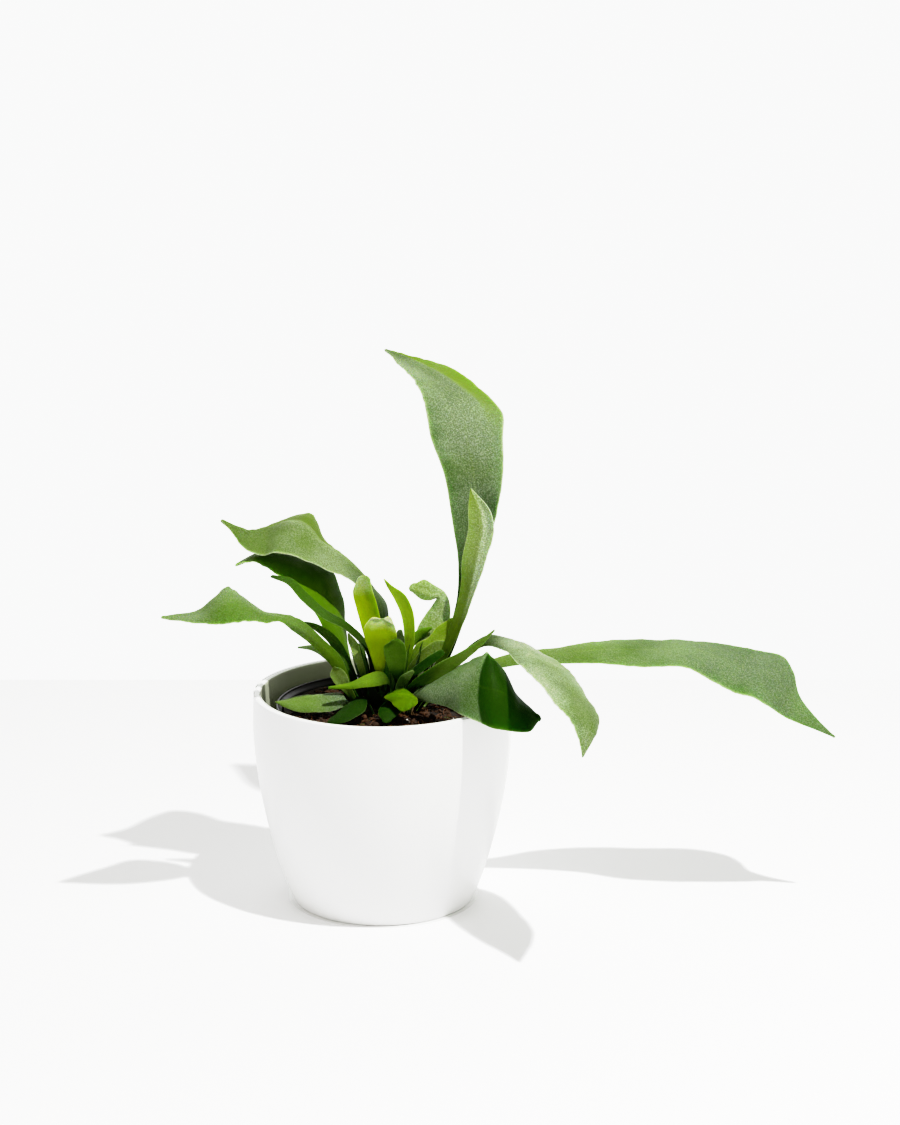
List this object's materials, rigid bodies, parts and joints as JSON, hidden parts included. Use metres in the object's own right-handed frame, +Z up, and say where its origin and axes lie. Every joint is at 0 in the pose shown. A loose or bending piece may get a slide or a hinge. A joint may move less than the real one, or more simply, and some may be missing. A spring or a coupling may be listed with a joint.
{
  "type": "potted fern",
  "caption": "Young staghorn fern with strap fronds that arch up and out over a round white glazed pot, growing in a black nursery pot that lifts out",
  "frame": {"origin": "centre of the cover pot's flat foot", "axes": "+Z up out of the pot, +X towards the long level frond, -Y towards the arching frond's tip"},
  "size_m": [0.331, 0.2084, 0.2671],
  "materials": {
    "glaze": "gloss",
    "black_plastic": "satin",
    "peat": "matte",
    "rhizome_scales": "matte",
    "grey_green_frond": "satin",
    "mid_green_frond": "satin",
    "deep_green_frond": "satin",
    "lime_frond": "satin",
    "pale_frond": "satin"
  },
  "bodies": {
    "root": {"cover_pot": "glaze", "nursery_pot": "black_plastic", "potting_mix": "peat", "rhizome": "rhizome_scales", "frond_tall": "grey_green_frond", "frond_arching": "grey_green_frond", "frond_left_broad": "grey_green_frond", "leaf_back_curled": "grey_green_frond", "leaf_inner_grey": "grey_green_frond", "frond_long": "mid_green_frond", "frond_left_low": "mid_green_frond", "leaf_centre_round": "deep_green_frond", "leaf_back_small": "deep_green_frond", "leaf_front_pad": "mid_green_frond", "frond_over_rim": "deep_green_frond", "frond_left_under": "deep_green_frond", "leaf_right_dark": "deep_green_frond", "leaf_front_dark": "deep_green_frond", "leaf_front_tip": "deep_green_frond", "frond_left_strap": "mid_green_frond", "frond_young_left": "mid_green_frond", "leaf_left_small": "grey_green_frond", "leaf_lime_blunt": "lime_frond", "leaf_lime_notched": "lime_frond", "leaf_lime_spear": "lime_frond", "leaf_back_lime": "lime_frond", "leaf_front_strip": "lime_frond", "leaf_front_bright": "mid_green_frond", "leaf_front_lobed": "lime_frond", "frond_second": "pale_frond", "leaf_left_round": "pale_frond", "leaf_inner_pale": "lime_frond", "leaf_right_pale": "pale_frond", "leaf_right_spear": "mid_green_frond"}
  },
  "joints": []
}
